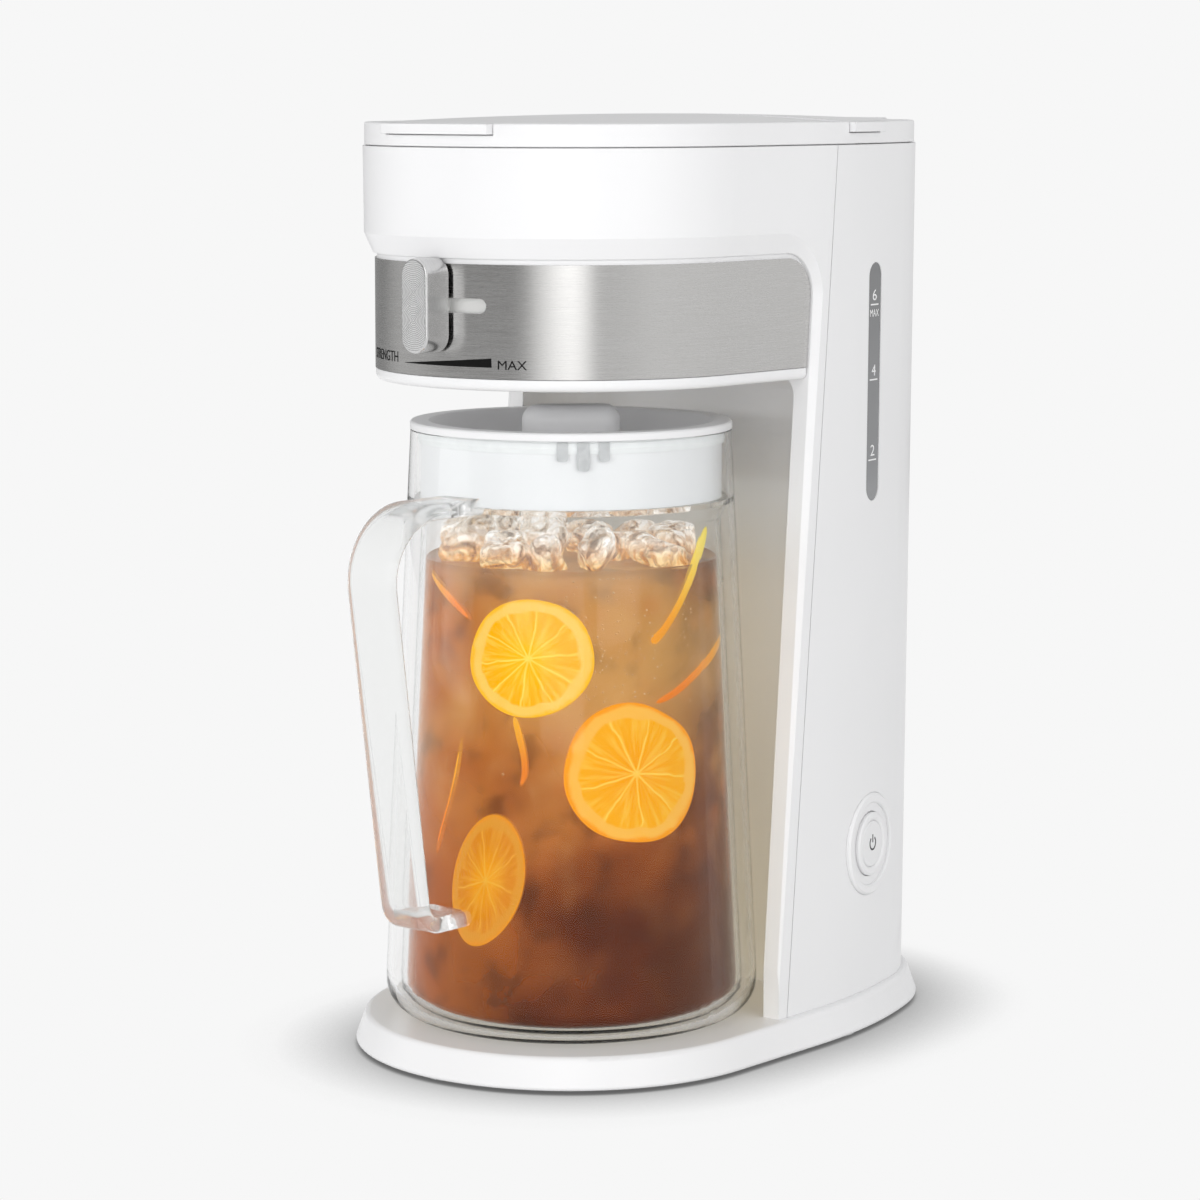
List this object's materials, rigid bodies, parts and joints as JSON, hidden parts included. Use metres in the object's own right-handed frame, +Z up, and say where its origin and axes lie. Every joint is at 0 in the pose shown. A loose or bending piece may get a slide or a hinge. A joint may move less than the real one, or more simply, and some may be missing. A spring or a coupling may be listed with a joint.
{
  "type": "iced tea maker",
  "caption": "Countertop iced tea maker: tower with a water tank and heater, head with a brew basket and strength selector, hinged lids, and a lidded jug in the niche.",
  "frame": {"origin": "on the floor, under the middle of the footprint: centred side to side, and half way between the jug handle's front and the base's rear", "axes": "+Z up along the tower; -Y is the front, where the jug's handle and the selector are; +X is the side with the level window and the power button"},
  "size_m": [0.169, 0.2917, 0.3618],
  "materials": {
    "housing": "injection moulded, satin gloss, white",
    "lids": "injection moulded, satin gloss, white",
    "inner_white": "injection moulded, plain",
    "band_steel": "stainless sheet, brushed along its length",
    "knob_metal": "plated plastic, spun face",
    "pin_steel": "drawn stainless wire",
    "screw_steel": "zinc plated steel",
    "foot_rubber": "moulded, matte",
    "hose_silicone": "extruded silicone, milky",
    "seal_silicone": "moulded silicone, matte",
    "heater_metal": "extruded and bent, plain",
    "bracket_metal": "pressed galvanised sheet",
    "fuse_sleeve": "plain sleeve",
    "black_plastic": "moulded, plain",
    "board_green": "laminated board",
    "window_clear": "clear plastic, smoked by the dark tank behind",
    "lens_white": "translucent white, polished",
    "jug_clear": "clear plastic, polished",
    "liner_clear": "clear plastic, polished",
    "screen_mesh": "fine woven mesh in a moulded frame"
  },
  "bodies": {
    "housing": {"base_shell": "housing", "base_cover": "inner_white", "rubber_feet": "foot_rubber", "base_screws": "screw_steel", "tower_screws": "screw_steel", "front_housing": "housing", "rear_housing": "housing", "cord_gland": "black_plastic", "steel_band": "band_steel", "band_trim": "housing", "top_collar": "housing", "front_lid_pin": "pin_steel", "tank_lid_pin": "pin_steel", "brew_chamber": "inner_white", "water_tank": "inner_white", "check_valve": "inner_white", "inlet_hose": "hose_silicone", "heater": "heater_metal", "riser_hose": "hose_silicone", "hose_clamps": "screw_steel", "water_spout": "inner_white", "heater_bracket": "bracket_metal", "thermostat": "black_plastic", "thermal_fuse": "fuse_sleeve", "level_window": "window_clear", "button_bezel": "housing", "switch_board": "board_green", "tact_switch": "black_plastic"},
    "front_lid": {"front_lid": "lids", "spray_dish": "inner_white"},
    "tank_lid": {"tank_lid": "lids"},
    "basket": {"brew_basket": "inner_white", "filter_screen": "screen_mesh"},
    "selector": {"strength_gate": "inner_white", "strength_knob": "knob_metal"},
    "power_button": {"button_cap": "housing", "button_lens": "lens_white"},
    "jug": {"jug_body": "jug_clear", "jug_liner": "liner_clear"},
    "jug_lid": {"jug_lid": "lids", "jug_lid_seal": "seal_silicone"}
  },
  "joints": [
    {"name": "front_lid_hinge", "type": "hinge", "parent": "housing", "child": "front_lid", "pos_m": [0, 0.0344, 0.3568], "axis": [-1, 0, 0], "range_deg": [0, 100]},
    {"name": "tank_lid_hinge", "type": "hinge", "parent": "housing", "child": "tank_lid", "pos_m": [0, 0.1284, 0.3568], "axis": [-1, 0, 0], "range_deg": [0, 95]},
    {"name": "strength_selector", "type": "hinge", "parent": "housing", "child": "selector", "pos_m": [0, -0.0316, 0.2922], "axis": [0, 0, 1], "range_deg": [-13.2, 13.2]},
    {"name": "power_button", "type": "slide", "parent": "housing", "child": "power_button", "axis": [-0.9825, -0.1863, 0], "range_m": [0, 0.0025], "stiffness_N_per_m": 300, "springref_m": -0.002},
    {"name": "jug_slide", "type": "slide", "parent": "housing", "child": "jug", "axis": [0, -1, 0], "range_m": [0, 0.2]},
    {"name": "jug_lid_twist", "type": "hinge", "parent": "jug", "child": "jug_lid", "pos_m": [0, -0.0316, 0.2425], "axis": [0, 0, 1], "range_deg": [0, 135]},
    {"name": "basket_lift", "type": "slide", "parent": "housing", "child": "basket", "axis": [0, 0, 1], "range_m": [0, 0.04]}
  ],
  "couplings": [
    {"joint": "basket_lift", "follows": "front_lid_hinge", "m_per_rad": 0.0229}
  ]
}
